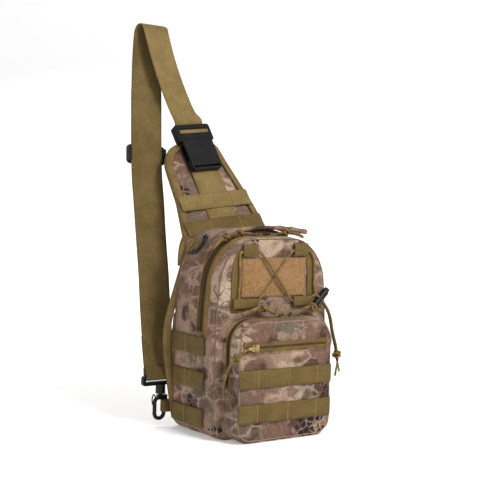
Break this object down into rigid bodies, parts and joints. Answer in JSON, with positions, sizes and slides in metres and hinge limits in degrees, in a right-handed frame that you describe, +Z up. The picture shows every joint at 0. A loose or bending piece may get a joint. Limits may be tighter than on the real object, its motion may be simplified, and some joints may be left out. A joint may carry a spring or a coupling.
{
  "type": "sling bag",
  "caption": "Camouflage sling bag with zipped main and front compartments, webbing rows, laced patch panel, padded shoulder piece, buckle and clip-on strap.",
  "frame": {"origin": "middle of the bag's base, on the surface that it stands on", "axes": "+Z up along the harness, +X to the bag's right-hand side seen from the front, -Y out of the front pouch"},
  "size_m": [0.251, 0.2661, 0.5697],
  "materials": {
    "camo": "printed camouflage nylon, matte",
    "webbing": "woven nylon webbing, matte",
    "binding": "ribbed nylon tape",
    "zip_tape": "woven zipper tape with nylon coil",
    "mesh": "padded air mesh",
    "loop_patch": "fuzzy loop fabric",
    "lining": "plain coated nylon",
    "cord": "braided cord",
    "plastic": "moulded acetal, satin",
    "slider_metal": "die-cast, antique brass plating",
    "spring_steel": "bright wire"
  },
  "bodies": {
    "bag": {"rear_gusset": "camo", "lower_shell": "camo", "main_zip_rear": "zip_tape", "side_rows": "webbing", "back_panel": "mesh", "back_binding": "binding", "hook_tab_left": "webbing", "hook_tab_right": "webbing", "pouch_body": "camo", "pouch_zip_rear": "zip_tape", "pouch_row_low": "webbing", "ring_tab": "webbing", "shoulder_pad": "camo", "pad_binding": "binding", "pad_strap": "webbing", "pad_rows": "webbing", "buckle_female": "plastic", "strap_front": "webbing", "strap_rear": "webbing", "hook_frame": "plastic"},
    "main_flap": {"flap_shell": "camo", "flap_binding": "binding", "main_zip_front": "zip_tape", "patch_panel": "loop_patch", "patch_webbing": "webbing", "bungee_cord": "cord", "cord_lock_barrel": "plastic", "cord_lock_spring": "spring_steel", "bungee_tail_front": "cord", "bungee_tail_rear": "cord", "bungee_knot": "cord"},
    "lock_plunger": {"cord_lock_plunger": "plastic"},
    "pouch_flap": {"pouch_flap_shell": "camo", "pouch_zip_front": "zip_tape", "pocket_zip": "zip_tape", "pocket_bag": "lining", "pouch_row_high": "webbing"},
    "ring": {"accessory_ring": "plastic"},
    "buckle_plug": {"buckle_male": "plastic"},
    "left_prong": {"prong_left": "plastic"},
    "right_prong": {"prong_right": "plastic"},
    "strap_adjuster": {"triglide": "plastic"},
    "hook": {"snap_hook": "plastic"},
    "gate": {"hook_gate": "plastic"},
    "main_left_slider_body": {"main_left_slider": "slider_metal"},
    "main_left_pull": {"main_left_tab": "slider_metal", "main_left_pull_cord": "cord"},
    "main_right_slider_body": {"main_right_slider": "slider_metal"},
    "main_right_pull": {"main_right_tab": "slider_metal", "main_right_pull_cord": "cord"},
    "pouch_left_slider_body": {"pouch_left_slider": "slider_metal"},
    "pouch_left_pull": {"pouch_left_tab": "slider_metal", "pouch_left_pull_cord": "cord"},
    "pouch_right_slider_body": {"pouch_right_slider": "slider_metal"},
    "pouch_right_pull": {"pouch_right_tab": "slider_metal", "pouch_right_pull_cord": "cord"},
    "pocket_slider_body": {"pocket_slider": "slider_metal"},
    "pocket_pull": {"pocket_tab": "slider_metal", "pocket_pull_cord": "cord"}
  },
  "joints": [
    {"name": "main_flap_fold", "type": "hinge", "parent": "bag", "child": "main_flap", "pos_m": [0, -0.046, 0.174], "axis": [1, 0, 0], "range_deg": [0, 45], "deforming": ["main_zip_front", "bungee_tail_front", "bungee_tail_rear", "pouch_left_pull_cord", "pouch_right_pull_cord"]},
    {"name": "pouch_flap_fold", "type": "hinge", "parent": "bag", "child": "pouch_flap", "pos_m": [0, -0.08, 0.071], "axis": [1, 0, 0], "range_deg": [0, 95], "deforming": ["pouch_zip_front"]},
    {"name": "main_left_slider_run", "type": "slide", "parent": "bag", "child": "main_left_slider_body", "axis": [-1, 0, 0], "range_m": [0, 0.03]},
    {"name": "main_left_pull_lift", "type": "hinge", "parent": "main_left_slider_body", "child": "main_left_pull", "pos_m": [0.002, -0.008, 0.2736], "axis": [0, 1, 0], "range_deg": [0, 80]},
    {"name": "main_right_slider_run", "type": "slide", "parent": "bag", "child": "main_right_slider_body", "axis": [1, 0, 0], "range_m": [0, 0.009]},
    {"name": "main_right_pull_lift", "type": "hinge", "parent": "main_right_slider_body", "child": "main_right_pull", "pos_m": [0.02, -0.008, 0.2736], "axis": [0, -1, 0], "range_deg": [0, 80]},
    {"name": "pouch_left_slider_run", "type": "slide", "parent": "bag", "child": "pouch_left_slider_body", "axis": [-1, 0, 0], "range_m": [0, 0.045]},
    {"name": "pouch_left_pull_lift", "type": "hinge", "parent": "pouch_left_slider_body", "child": "pouch_left_pull", "pos_m": [0.011, -0.056, 0.1676], "axis": [0, -1, 0], "range_deg": [-80, 0]},
    {"name": "pouch_right_slider_run", "type": "slide", "parent": "bag", "child": "pouch_right_slider_body", "axis": [1, 0, 0], "range_m": [0, 0.013]},
    {"name": "pouch_right_pull_lift", "type": "hinge", "parent": "pouch_right_slider_body", "child": "pouch_right_pull", "pos_m": [0.025, -0.056, 0.1676], "axis": [0, 1, 0], "range_deg": [-80, 0]},
    {"name": "pocket_slider_run", "type": "slide", "parent": "pouch_flap", "child": "pocket_slider_body", "axis": [1, 0, 0], "range_m": [0, 0.104], "deforming": ["pocket_pull_cord"]},
    {"name": "pocket_pull_swing", "type": "hinge", "parent": "pocket_slider_body", "child": "pocket_pull", "pos_m": [-0.052, -0.0836, 0.128], "axis": [0, 0, 1], "range_deg": [0, 100]},
    {"name": "accessory_ring_swing", "type": "hinge", "parent": "bag", "child": "ring", "pos_m": [-0.08433, 0.012, 0.25854], "axis": [-0.6157, 0, -0.788], "range_deg": [-12, 100]},
    {"name": "cord_lock_press", "type": "slide", "parent": "main_flap", "child": "lock_plunger", "axis": [0.7071, 0, 0.7071], "range_m": [-0.004, 0], "stiffness_N_per_m": 400, "springref_m": 0.004, "deforming": ["cord_lock_spring"]},
    {"name": "buckle_release", "type": "slide", "parent": "bag", "child": "buckle_plug", "axis": [-0.1132, 0.5117, 0.8517], "range_m": [0, 0.032], "deforming": ["strap_front"]},
    {"name": "left_prong_squeeze", "type": "hinge", "parent": "buckle_plug", "child": "left_prong", "pos_m": [-0.02978, 0.13535, 0.39781], "axis": [0, -0.8572, 0.515], "range_deg": [0, 6], "stiffness_Nm_per_rad": 0.4, "springref_deg": -5.73},
    {"name": "right_prong_squeeze", "type": "hinge", "parent": "buckle_plug", "child": "right_prong", "pos_m": [0.00201, 0.13721, 0.40091], "axis": [0, 0.8572, -0.515], "range_deg": [0, 6], "stiffness_Nm_per_rad": 0.4, "springref_deg": -5.73},
    {"name": "strap_adjuster_slide", "type": "slide", "parent": "bag", "child": "strap_adjuster", "axis": [0.0489, 0.1413, 0.9888], "range_m": [-0.01, 0.05]},
    {"name": "hook_swivel", "type": "hinge", "parent": "bag", "child": "hook", "pos_m": [-0.103, 0.073, 0.05], "axis": [0, 0, 1], "range_deg": [-15, 15], "deforming": ["hook_tab_left"]},
    {"name": "hook_gate_open", "type": "hinge", "parent": "hook", "child": "gate", "pos_m": [-0.097, 0.073, 0.0348], "axis": [0, 1, 0], "range_deg": [0, 20], "stiffness_Nm_per_rad": 0.02, "springref_deg": -11.46, "deforming": ["hook_tab_left"]}
  ],
  "couplings": [
    {"joint": "right_prong_squeeze", "follows": "left_prong_squeeze", "ratio": 1}
  ]
}
